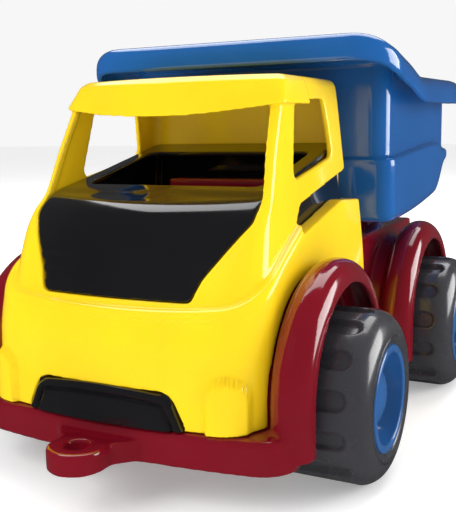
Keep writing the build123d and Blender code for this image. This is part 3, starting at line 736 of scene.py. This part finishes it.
# ---------- cab
@dataclass
class CabForm:
    """Shape shared by the cab's shell, its liner and its grille. Distances run back from the front axle.

    The plan at a height is one rounded outline stretched between that height's front and rear and scaled to
    its half-width. The front edge is bowed forward by bow(1 - (x / half-width) squared).
    """

    layout: Layout
    levels: Row = (31.0, 60.0, 78.0, 97.0, 108.0, 114.0, 132.0, 150.0, 161.5, 164.0)
    half: Row = (59.8, 59.6, 59.2, 57.6, 56.0, 54.8, 53.0, 51.4, 50.2, 49.8)
    front: Row = (-52.0, -48.0, -44.5, -35.5, -27.5, -21.5, -13.0, -3.5, 2.5, 3.5)
    bow: Row = (8.0, 7.5, 6.5, 7.0, 7.5, 8.0, 8.0, 8.0, 8.0, 8.0)
    rear: Row = (80.0, 76.0, 73.5, 71.5, 71.0, 70.5, 69.0, 67.4, 66.2, 66.0)
    lower_half: Row = (62.6, 62.6, 62.4, 61.4, 60.6, 60.3, 60.0, 60.0, 60.0, 60.0)
    lower_front: Row = (-52.6, -51.2, -47.6, -43.0, -40.0, -38.0, -38.0, -38.0, -38.0, -38.0)
    lower_bow: Row = (8.2, 8.2, 7.6, 7.6, 7.6, 7.6, 7.6, 7.6, 7.6, 7.6)
    lower_rear: Row = (81.0, 77.5, 75.5, 73.5, 72.5, 72.0, 72.0, 72.0, 72.0, 72.0)
    corner_low: float = 14.0
    corner_high: float = 3.5

    @property
    def y0(self) -> float:
        """Place of the front axle."""
        return self.layout.front_axle_y

    def level(self, z: float, inset: float, lower: bool = False, front_inset: float | None = None) -> Array:
        """Plan outline at one height, as a row of points."""
        return self.skin(np.full((1, len(self.unit_outline(1.0))), z), inset, lower, front_inset)

    def skin(self, z: Array, inset: float, lower: bool = False, front_inset: float | None = None) -> Array:
        """Points of the plan outlines at given heights.

        Args:
            z: heights, one row of outline points for each row: shape (rows, points) or (rows, 1).
            inset: how far the sides and the rear are drawn in.
            lower: whether to use the lower shell's sizes.
            front_inset: how far the front is drawn in; the same as the sides when left out.

        Returns:
            Points, shape (rows, points, 3).
        """
        ahead = inset if front_inset is None else front_inset
        half = curve_through(z, self.levels, self.lower_half if lower else self.half) - inset
        front = curve_through(z, self.levels, self.lower_front if lower else self.front) + ahead
        bow = curve_through(z, self.levels, self.lower_bow if lower else self.bow)
        rear = curve_through(z, self.levels, self.lower_rear if lower else self.rear) - inset
        blunt, sharp = self.unit_outline(self.corner_low), self.unit_outline(self.corner_high)
        share = 0.0 * z if lower else smoothstep(z, 80.0, 112.0)
        x = blunt[:, 0] * (1 - share) + sharp[:, 0] * share
        s = blunt[:, 1] * (1 - share) + sharp[:, 1] * share
        y = front + s * (rear - front) - bow * (1 - x * x) * (1 - smoothstep(s, 0.05, 0.45))
        height = np.broadcast_to(z, x.shape)
        return np.stack([x * half, y + self.y0, height], axis=-1)

    @staticmethod
    def unit_outline(corner: float) -> Array:
        """Outline with x from -1 to 1 and the share from front to rear from 0 to 1."""
        half, length = 60.0, 125.0
        return oblong(half, 0, length, corner, 5.0, arc=12, run=34) / np.array([half, length])

    def upper_solid(self, inset: float, top: float, bottom: float = 45.0, round_top: float = 0.0) -> Part:
        """Solid of the upper cab up to a flat or rounded top.

        The roof's edge is a quarter circle, and above it the outline shrinks to the middle while the height
        rises by a low crown.
        """
        rows = [self.level(z, inset) for z in np.linspace(bottom, top - round_top, 64)]
        for a in (QUARTER if round_top else ()):
            draw = round_top * (1 - np.cos(a))
            ring = self.level(top, inset + draw)
            ring[..., 2] = top - round_top * (1 - np.sin(a))
            rows.append(ring)
        if round_top:
            edge = rows[-1].copy()
            middle = edge.mean(axis=1, keepdims=True)
            for f in np.linspace(0, 0.97, 9)[1:]:
                ring = edge * (1 - f) + middle * f
                ring[..., 2] = top + 1.6 * (1 - (1 - f) ** 2)
                rows.append(ring)
        return stack(np.concatenate(rows))

    def at(self, distances: Points) -> Points:
        """Turn (distance behind the front axle, height) pairs into (y, z)."""
        return [(self.y0 + u, z) for u, z in distances]

    def dash_height(self, y: Array) -> Array:
        """Height of the dash: a plane that rises to the rear."""
        return 113.9 + 0.217 * (y - self.y0 + 26.0)


@dataclass
class CabShell:
    """Yellow cab moulding."""

    form: CabForm
    wall: float = 2.6
    bottom_z: float = 31.9
    roof_z: float = 161.2  # underside of the roof
    pitch: float = 0.5
    passes: int = 16
    collar_at: Row = (-70.0, -56.0, -47.0, -38.0, -28.0, -18.0, -8.0, 2.0, 14.0, 30.0, 49.0, 66.0, 82.0)
    collar_z: Row = (74.0, 75.0, 79.0, 85.5, 91.5, 96.5, 101.0, 105.0, 108.0, 110.3, 112.0, 111.2, 107.5)
    shoulder: float = 3.4
    window: Line = ((3.8, 119.4), (52.3, 128.4), (46.8, 154.0), (12.6, 152.6))
    vent: Line = ((-4.0, 98.5), (46.0, 109.0), (95.0, 106.0), (95.0, 126.8), (7.5, 109.9))
    vent_inner: float = 50.0
    hood: Line = ((34.0, 77.6), (37.2, 86.0), (51.4, 106.5), (51.4, 114.0), (47.0, 152.4))
    hood_radii: Row = (3.0, 12.0, 4.0, 1.0, 2.0)
    grille: Line = ((36.0, 24.0), (35.6, 34.0), (29.6, 46.0))
    arch_radius: float = 43.2
    arch_centre: tuple[float, float] = (2.0, 39.5)
    visor_low: float = 151.2
    visor_high: float = 161.9
    visor_sizes: Line = ((53.5, -3.1), (-5.0, 7.6), (10.0, -2.0))  # half, front, bow: at the low edge, gain
    visor_rear: float = 27.0
    visor_drop: float = 4.8
    lamp_x: float = 51.2
    lamp_half: float = 7.4
    lamp_top: float = 52.5
    lamp_proud: float = 2.6

    def lower_solid(self) -> Part:
        """Lower shell: rows share the height up to the collar, then turn in by a quarter circle."""
        form = self.form
        flat = form.level(79.0, 0.0, lower=True)
        collar = curve_through(flat[..., 1] - form.y0, self.collar_at, self.collar_z)
        rows = []
        for t in np.linspace(0, 1, 40):
            z = self.bottom_z * (1 - t) + (collar - self.shoulder) * t
            rows.append(form.skin(z, 0.0, lower=True))
        for a in QUARTER:
            ring = form.skin(collar, self.shoulder * (1 - np.cos(a)), lower=True)
            ring[..., 2] = collar - self.shoulder * (1 - np.sin(a))
            rows.append(ring)
        rows.append(form.skin(collar, 8.0, lower=True))
        return stack(np.concatenate(rows))

    def visor(self, inset: float = 0.0, sink: float = 0.0) -> Part:
        """Visor band: wider than the pillars, leaning back, with its lower edge falling towards the middle.

        Args:
            inset: how far the outline and the top are drawn in.
            sink: how far the lower end is dropped.
        """
        form = self.form
        plan = oblong(1, 0, 1, 0.09, 0.1, run=34)
        x, s = plan[:, 0], plan[:, 1]
        low, high = self.visor_low, self.visor_high - inset
        edge = max(1.4 - inset, 0.3)
        turn = np.linspace(0, np.pi / 2, 6)
        side = np.linspace(low - sink, high - edge, 16)
        heights = np.concatenate([side, high - edge + edge * np.sin(turn[1:])])
        draws = np.concatenate([np.zeros(16), edge * (1 - np.cos(turn[1:]))]) + inset
        rows = []
        for z, draw in zip(heights, draws):
            t = (z - self.visor_low) / (self.visor_high - self.visor_low)
            half, front, bow = (at_low + t * gain for at_low, gain in self.visor_sizes)
            y = front + draw + s * (self.visor_rear - front - draw)
            ahead = bow * (1 - x * x) * (1 - smoothstep(s, 0.1, 0.9))
            drop = self.visor_drop * np.clip(1 - t, 0, 1) * (1 - x * x) * (1 - smoothstep(s, 0.0, 0.6))
            rows.append(np.column_stack([x * (half - draw), y - ahead + form.y0, z - drop]))
        return stack(np.array(rows))

    def openings(self) -> list[Part]:
        """Solids taken out of the shell: cavity, hood with windscreen, windows, vents, grille and arches."""
        form = self.form
        y0 = form.y0
        front_radii = self.hood_radii + self.hood_radii[::-1]
        vent = rounded_outline(form.at(self.vent), [1.0, 8.0, 1.0, 1.0, 5.0])
        r = self.arch_radius
        arch = oblong(r, -40, r, 0.01, r - 0.1, arc=40, run=4) + np.array(form.at([self.arch_centre]))
        return [
            form.upper_solid(self.wall, self.roof_z, bottom=20.0),
            prism(rounded_outline(mirrored(self.hood), front_radii, run=8), "y", y0 - 90, y0 + 9),
            prism(rounded_outline(form.at(self.window), [3.5, 4.5, 3.5, 2.0]), "x", -80, 80),
            prism(vent, "x", self.vent_inner, 80),
            prism(vent, "x", -80, -self.vent_inner),
            prism(rounded_outline(mirrored(self.grille), [0.5, 6, 8, 8, 6, 0.5]), "y", y0 - 90, y0 - 40),
            prism(arch, "x", -80, 80),
        ]

    def emboss(self, piece: Piece) -> None:
        """Raise the lamp pads.

        A point on the lower front moves along the front's slope by the pad's height times a smooth step of
        its distance from the pad's edge, an upright bar with a half-round top.
        """
        points = points_of(piece.data)
        normals = np.empty(len(points) * 3)
        piece.data.vertices.foreach_get("normal", normals)
        normals = normals.reshape(-1, 3)
        across = np.abs(points[:, 0]) - self.lamp_x
        above = np.maximum(points[:, 2] - (self.lamp_top - self.lamp_half), 0.0)
        distance = np.hypot(across, above) - self.lamp_half
        outside = smoothstep(-normals[:, 1], 0.15, 0.5) * (points[:, 1] < self.form.y0 - 40.0)
        rise = self.lamp_proud * (1 - smoothstep(distance, -0.9, 0.7)) * outside
        points[:, 1] -= rise * 0.92
        points[:, 0] += np.sign(points[:, 0]) * rise * 0.3
        put_points(piece.data, points)

    def build(self, finishes: Finishes) -> None:
        """Join the solids, take out the openings, round every edge, raise the lamps and hand over."""
        piece = make_object("cab_shell_skin", [self.form.upper_solid(0.0, 163.2, round_top=3.0)])
        combine(piece, [self.lower_solid()], Boolean.UNION)
        combine(piece, self.openings(), Boolean.DIFFERENCE)
        visor = make_object("visor", [self.visor()])
        room = self.form.upper_solid(self.wall, self.roof_z, bottom=100.0)
        combine(visor, [self.visor(self.wall, 8.0), room], Boolean.DIFFERENCE)
        fuse(piece, visor)
        remould(piece, self.pitch, self.passes)
        self.emboss(piece)
        shade_smooth(piece)
        hand_over(piece, finishes, "yellow_plastic", "truck_frame", ["cab_shell"])


@dataclass
class CabLiner:
    """Black insert: hood panel, dash with its hatch and skirts behind the side vents."""

    form: CabForm
    shell: CabShell
    gap: float = 0.35
    wall: float = 2.2
    crest: float = 5.0
    skirt_z: float = 93.0
    hatch: tuple[float, float, float] = (43.0, -5.0, 50.0)
    pitch: float = 0.5
    passes: int = 16

    def block(self, inset: float, drop: float, bottom: float, front_inset: float) -> Part:
        """Solid under the dash: rows share the height up to it, and its front edge is a quarter circle."""
        form = self.form
        flat = form.level(114.0, inset, front_inset=front_inset)
        ahead = 1 - smoothstep(flat[..., 1] - form.y0, -24.0, -12.0)
        top = form.dash_height(flat[..., 1]) - drop
        rows = []
        for t in np.linspace(0, 1, 36):
            z = bottom * (1 - t) + (top - self.crest * ahead) * t
            rows.append(form.skin(z, inset, front_inset=front_inset))
        for a in QUARTER:
            z = top - self.crest * ahead * (1 - np.sin(a))
            ring = form.skin(z, inset, front_inset=front_inset)
            ring[..., 1] += self.crest * ahead * (1 - np.cos(a)) * 0.7
            rows.append(ring)
        edge = rows[-1]
        for f in np.linspace(0, 1, 12, endpoint=False)[1:]:
            rows.append(edge * np.array([1 - f, 1, 1]))
        return stack(np.concatenate(rows))

    def build(self, finishes: Finishes) -> None:
        """Cut the hood panel to its shield outline, join it to the dash and skirts, and hand over."""
        y0 = self.form.y0
        side = [(x - self.gap, z) for x, z in self.shell.hood[:4]]
        side[0] = (side[0][0], side[0][1] + self.gap)
        side[3] = (side[3][0], 124.0)
        radii = (*self.shell.hood_radii[:3], 0.5)
        window = prism(rounded_outline(mirrored(side), radii + radii[::-1]), "y", y0 - 90, y0 - 12)
        piece = make_object("cab_liner_skin", [self.block(self.gap, 0.0, 66.0, self.gap)])
        combine(piece, [window], Boolean.INTERSECT)
        behind = self.block(self.gap + self.wall, self.wall, 60.0, self.gap + self.wall)
        combine(piece, [behind], Boolean.DIFFERENCE)
        inner = make_object("dash", [self.block(self.shell.wall + self.gap, 0.0, self.skirt_z, 1.6)])
        under = self.shell.wall + self.gap + self.wall
        hollow = self.block(under, self.wall, self.skirt_z - 5, 1.6 + self.wall)
        combine(inner, [hollow], Boolean.DIFFERENCE)
        half, front, rear = self.hatch
        hole = prism(oblong(half, y0 + front, y0 + rear, 6.0, 4.0), "z", 100, 150)
        low_front = prism(oblong(70, y0 - 80, y0 - 18, 1, 1), "z", 80, 110.5)
        combine(inner, [hole, low_front], Boolean.DIFFERENCE)
        fuse(piece, inner)
        remould(piece, self.pitch, self.passes)
        self.press_louvres(piece)
        shade_smooth(piece)
        hand_over(piece, finishes, "black_plastic", "truck_frame", ["cab_liner"])

    def press_louvres(self, piece: Piece) -> None:
        """Three shallow waves low on each side of the hood: y moves in by a cosine of the height."""
        points = points_of(piece.data)
        x, z = np.abs(points[:, 0]), points[:, 2]
        spread = smoothstep(x, 19.0, 26.0) * (1 - smoothstep(x, 38.0, 45.0))
        tall = smoothstep(z, 80.0, 82.0) * (1 - smoothstep(z, 95.0, 97.0))
        wave = 0.5 - 0.5 * np.cos((z - 81.0) * 2 * np.pi / 5.0)
        ahead = points[:, 1] < self.form.y0 - 28.0
        points[:, 1] += 0.95 * spread * tall * wave * ahead
        put_points(piece.data, points)


@dataclass
class Grille:
    """Black grille plate: an arched frame around a raised field, with a groove between them."""

    form: CabForm
    half_low: float = 35.4
    half_high: float = 29.4
    low_z: float = 32.0
    side_z: float = 44.6
    rise: float = 2.0
    proud: float = 1.5
    thickness: float = 3.2
    groove: float = 1.3

    def build(self, finishes: Finishes) -> None:
        """Sheet over the opening, its front raised by an edge rounding and lowered along the groove.

        The place across runs from -1 to 1 and the place up from 0 to 1. The top is an arc that rises to the
        middle. Distance to the outline drives both the rounding and the groove, and the back is the same
        sheet moved in.
        """
        form = self.form
        u = np.linspace(-1, 1, 121)[:, None]
        v = np.linspace(0, 1, 41)[None, :]
        top = self.side_z + self.rise * (1 - u * u)
        z = self.low_z + v * (top - self.low_z)
        share = (z - self.low_z) / (self.side_z - self.low_z) * 0.92
        half = self.half_low + (self.half_high - self.half_low) * share
        x = u * half
        wide = curve_through(z, form.levels, form.lower_half)
        bow = curve_through(z, form.levels, form.lower_bow)
        front = curve_through(z, form.levels, form.lower_front) - bow * (1 - (x / wide) ** 2)
        to_side = (1 - np.abs(u)) * half
        to_top = (top - z)
        edge = np.minimum(to_side, to_top)
        corner = np.hypot(np.maximum(5 - to_side, 0), np.maximum(5 - to_top, 0))
        edge = np.where((to_side < 5) & (to_top < 5), 5 - corner, edge)
        lift = self.proud * np.sqrt(np.clip(1 - (1 - np.clip(edge / 1.6, 0, 1)) ** 2, 0, 1))
        groove = self.groove * np.exp(-((edge - 4.0) / 0.8) ** 2)
        field_lift = 0.5 * smoothstep(edge, 4.4, 6.5)
        y = front + form.y0 - lift + groove - field_lift
        face = np.stack([x, y, np.broadcast_to(z, x.shape)], axis=-1)
        back = face.copy()
        back[..., 1] = front + form.y0 + self.thickness
        piece = make_object("front_grille_skin", [slab(face, back)])
        shade_smooth(piece, 60.0)
        hand_over(piece, finishes, "black_plastic", "truck_frame", ["front_grille"])


def slab(face: Array, back: Array) -> Part:
    """Closed part between two sheets of the same grid: both sheets and a band round their borders.

    Args:
        face: points of the outer sheet, shape (rows, columns, 3).
        back: points of the inner sheet.

    Returns:
        Vertices and faces.
    """
    rows, columns = face.shape[:2]
    index = np.arange(rows * columns).reshape(rows, columns)
    sheet = np.stack([index[:-1, :-1], index[1:, :-1], index[1:, 1:], index[:-1, 1:]], axis=-1).reshape(-1, 4)
    border = np.concatenate([index[0, :-1], index[:-1, -1], index[-1, :0:-1], index[:0:-1, 0]])
    ahead = np.roll(border, -1)
    shift = rows * columns
    band = np.stack([border, ahead, ahead + shift, border + shift], axis=-1)
    faces = np.concatenate([sheet, sheet[:, ::-1] + shift, band])
    return np.concatenate([face.reshape(-1, 3), back.reshape(-1, 3)]), [tuple(f) for f in faces.tolist()]


# ---------- bed
@dataclass
class DumpBed:
    """Blue tipping bed. Distances run back from the rear axle."""

    layout: Layout
    front: float = -60.0
    rear: float = 64.3
    upper_half: float = 70.0
    lower_half: float = 73.4
    rim_half: float = 81.8
    rim_reach: float = 33.8
    wall: float = 2.8
    corner: float = 8.0
    rim_corner: float = 21.0
    roll: float = 9.0
    lip: float = 14.0
    bottom_at: Row = (-90.0, -60.0, -52.0, 36.0, 42.0, 54.0, 60.0, 90.0)
    bottom_z: Row = (96.5, 95.5, 94.4, 101.2, 104.5, 115.5, 118.6, 120.5)
    ledge_at: Row = (-90.0, -60.0, 38.0, 43.0, 52.0, 90.0)
    ledge_z: Row = (126.0, 126.3, 131.4, 131.0, 127.5, 129.5)
    rim_at: Row = (-96.0, -86.0, -78.0, -64.0, -50.0, -37.0, -27.0, -12.0, 20.0, 90.0)
    rim_z: Row = (185.2, 182.4, 178.8, 175.6, 172.8, 169.4, 167.4, 166.7, 167.1, 168.2)
    ear_x: Row = (31.8, 38.8)
    ear_hole: float = 2.58
    ear_half: float = 5.0
    ear_height: float = 10.5
    pitch: float = 0.7
    passes: int = 14

    def plan(self, half: float, front: float, corner: float, rear: float | None = None) -> Outline:
        """Outline maker for a half-width, front and corner radius, drawn in by its argument."""
        end = self.layout.rear_axle_y + (self.rear if rear is None else rear)
        y0 = self.layout.rear_axle_y + front

        def outline(inset: float) -> Array:
            """Plan outline drawn in by an inset."""
            h = half - inset
            r = max(corner - inset, 0.6)
            tail = max(3.0 - inset, 0.4)
            return oblong(h, y0 + inset, end - inset, r, tail, arc=14, run=60)

        return outline

    def line(self, places: Row, heights: Row,
             shift: float = 0.0) -> Height:
        """Height as a smooth function of y."""
        return lambda y: curve_through(y - self.layout.rear_axle_y, places, heights) + shift

    def build(self, finishes: Finishes) -> None:
        """Join walls, lower box and rim, take out the load space, round every edge and add the hinge ears."""
        bottom = self.line(self.bottom_at, self.bottom_z)
        top = self.line(self.rim_at, self.rim_z)
        ledge = self.line(self.ledge_at, self.ledge_z)
        walls = column(self.plan(self.upper_half, self.front + 2.5, self.corner),
                       lambda y: bottom(y) + 4.0, lambda y: top(y) - 1.2, rows=24)
        lower = column(self.plan(self.lower_half, self.front, self.corner), bottom, ledge,
                       round_low=5.0, round_high=2.2, rows=10)
        rim_front = self.front - self.rim_reach
        rim = column(self.plan(self.rim_half, rim_front, self.rim_corner), lambda y: top(y) - self.lip, top,
                     round_low=0.6, round_high=self.roll, rows=8)
        wall = self.wall
        under = column(self.plan(self.rim_half - wall, rim_front + wall, self.rim_corner - wall, 80.0),
                       lambda y: top(y) - self.lip - 8, lambda y: top(y) - wall,
                       round_high=self.roll - wall)
        piece = make_object("dump_bed_skin", [rim])
        combine(piece, [under], Boolean.DIFFERENCE)
        combine(piece, [walls, lower], Boolean.UNION)
        inside = self.plan(self.upper_half - wall, self.front + 2.5 + wall, self.corner - wall, 90.0)
        space = column(inside, lambda y: bottom(y) + wall, lambda y: 0 * y + 230.0, round_low=6.0, rows=30)
        combine(piece, [space], Boolean.DIFFERENCE)
        remould(piece, self.pitch, self.passes)
        ears = make_object("ears", [self.ear(-1), self.ear(1)])
        append(piece, ears)
        shade_smooth(piece)
        hand_over(piece, finishes, "blue_plastic", "bed", ["dump_bed"])

    def ear(self, side: int) -> Part:
        """Hinge ear: rings from the pin's hole out to a round foot that runs up into the bed's floor.

        Below the pin its edge is a circle, and above it an upright bar of the same width.
        """
        a = np.linspace(0, 2 * np.pi, 64, endpoint=False)
        hole = np.full_like(a, self.ear_hole)
        beside = self.ear_half / np.maximum(np.abs(np.cos(a)), 1e-6)
        above = self.ear_height / np.maximum(np.sin(a), 1e-6)
        reach = np.where(np.sin(a) > 0, np.minimum(beside, above), self.ear_half)
        near, far = self.ear_x
        rings = [np.column_stack([np.full_like(a, side * x), radius * np.cos(a) + self.layout.hinge_y,
                                  radius * np.sin(a) + self.layout.hinge_z])
                 for x, radius in ((near, hole), (near, reach), (far, reach), (far, hole))]
        return torus(np.array(rings))


# ---------- chassis and steel
@dataclass
class Chassis:
    """Dark red moulding, with every edge and joint softened as the mould does, and the steel parts in it."""

    steel: tuple[str, ...] = ("front_axle", "rear_axle", "bed_hinge_pin", "cab_screws")
    pitch: float = 0.8
    passes: int = 12

    def build(self, finishes: Finishes) -> None:
        """Relax a copy of the moulding and dress the steel."""
        piece = copy_of_node("chassis", "chassis_skin")
        remould(piece, self.pitch, self.passes)
        shade_smooth(piece)
        hand_over(piece, finishes, "red_plastic", "truck_frame", ["chassis"])
        for node in self.steel:
            finishes.dress(frame["nodes"][node], "steel")
            LOG.info("%s: dressed in steel", node)


# ---------- studio
@dataclass(frozen=True)
class Lamp:
    """Soft rectangular light aimed at a point, which glossy pieces mirror or not."""

    name: str
    place: Row
    aim: Row
    size: Row
    power: float
    reflected: bool = True

    def build(self) -> None:
        """Hang the light and turn it to its aim."""
        data = bpy.data.lights.new(self.name, "AREA")
        data.shape = "RECTANGLE"
        data.size, data.size_y = self.size
        data.energy = self.power
        light = bpy.data.objects.new(self.name, data)
        light.location = self.place
        light.visible_glossy = self.reflected
        light.rotation_euler = (Vector(self.aim) - Vector(self.place)).to_track_quat("-Z", "Y").to_euler()
        bpy.context.scene.collection.objects.link(light)


@dataclass
class Studio:
    """Pale floor, soft lights and the camera."""

    camera_place: tuple[float, float, float] = (0.180, -0.3605, 0.1413)
    yaw: float = 27.11
    pitch: float = -8.92
    roll: float = -0.97
    lens: float = 56.92
    floor_size: float = 12.0
    surround: float = 0.75
    reflected: float = 0.06
    backdrop_level: float = 0.93
    lamps: tuple[Lamp, ...] = (
        Lamp("top", (-0.2, 0.6, 1.25), (0, 0.05, 0.08), (1.6, 1.0), 15.0),
        Lamp("side", (1.15, 0.6, 0.42), (0, 0, 0.09), (0.9, 0.7), 12.0),
        Lamp("front", (-0.5, -1.1, 1.0), (0, 0, 0.08), (0.8, 0.8), 10.0, reflected=False),
    )
    floor_tones: Row = (0.93, 0.96)
    floor_glow: float = 0.28

    def camera(self) -> None:
        """Camera from its yaw, pitch and roll: the view direction, then right and up turned by the roll."""
        yaw, pitch, roll = np.radians([self.yaw, self.pitch, self.roll])
        ahead = np.array([-np.sin(yaw) * np.cos(pitch), np.cos(yaw) * np.cos(pitch), np.sin(pitch)])
        right = np.array([np.cos(yaw), np.sin(yaw), 0.0])
        up = np.cross(right, ahead)
        axis_x = np.cos(roll) * right + np.sin(roll) * up
        axis_y = -np.sin(roll) * right + np.cos(roll) * up
        matrix = Matrix.Identity(4)
        for column_index, axis in enumerate((axis_x, axis_y, -ahead, self.camera_place)):
            for row in range(3):
                matrix[row][column_index] = axis[row]
        data = bpy.data.cameras.new("camera")
        data.lens = self.lens
        data.sensor_width = 36.0
        data.clip_start = 0.01
        view = bpy.data.objects.new("camera", data)
        view.matrix_world = matrix
        bpy.context.scene.collection.objects.link(view)
        bpy.context.scene.camera = view

    def floor(self) -> None:
        """Pale floor: a flat sheet with a faint mottled tone."""
        half = self.floor_size / MM / 2
        t = np.linspace(-half, half, 9)
        x, y = np.meshgrid(t, t, indexing="ij")
        face = np.stack([x, y, np.zeros_like(x)], axis=-1)
        floor = make_object("floor", [slab(face, face - np.array([0.0, 0.0, 4.0]))])
        shading = Shading("pale_floor")
        tones = [(tone,) * 3 for tone in self.floor_tones]
        shading.colour(shading.noise(3.0, 2.0), list(zip(MIDDLE, tones)))
        shading.put(Roughness=0.6, Emission_Color=(1.0, 1.0, 1.0, 1.0), Emission_Strength=self.floor_glow)
        floor.data.materials.append(shading.material)
        floor.visible_glossy = False

    def world(self) -> None:
        """Surround: white to the camera, a soft grey as light and a darker grey in reflections."""
        world = bpy.data.worlds.new("surround")
        world.use_nodes = True
        tree = world.node_tree
        tree.nodes.clear()
        path = tree.nodes.new("ShaderNodeLightPath")
        last = self.backdrop(tree, self.surround)
        for output, level in (("Is Glossy Ray", self.reflected), ("Is Camera Ray", self.backdrop_level)):
            mix = tree.nodes.new("ShaderNodeMixShader")
            tree.links.new(path.outputs[output], mix.inputs[0])
            tree.links.new(last, mix.inputs[1])
            tree.links.new(self.backdrop(tree, level), mix.inputs[2])
            last = mix.outputs[0]
        tree.links.new(last, tree.nodes.new("ShaderNodeOutputWorld").inputs["Surface"])
        bpy.context.scene.world = world
        bpy.context.scene.view_settings.view_transform = "Standard"

    @staticmethod
    def backdrop(tree: bpy.types.NodeTree, level: float) -> bpy.types.NodeSocket:
        """White background of a given strength."""
        back = tree.nodes.new("ShaderNodeBackground")
        back.inputs["Color"].default_value = (1.0, 1.0, 1.0, 1.0)
        back.inputs["Strength"].default_value = level
        return back.outputs[0]

    def build(self) -> None:
        """Set the stage."""
        self.floor()
        self.world()
        for lamp in self.lamps:
            lamp.build()
        self.camera()


def main() -> None:
    """Build the truck and its stage."""
    logging.basicConfig(level=logging.INFO)
    layout = Layout.read()
    finishes = Finishes().build()
    form = CabForm(layout)
    shell = CabShell(form)
    Chassis().build(finishes)
    shell.build(finishes)
    CabLiner(form, shell).build(finishes)
    Grille(form).build(finishes)
    DumpBed(layout).build(finishes)
    for place in ("front", "rear"):
        for side in ("left", "right"):
            Wheel(place, side, layout).build(finishes)
    Studio().build()
    LOG.info("floor, surround, lamps and camera set")


if __name__ == "__main__":
    main()
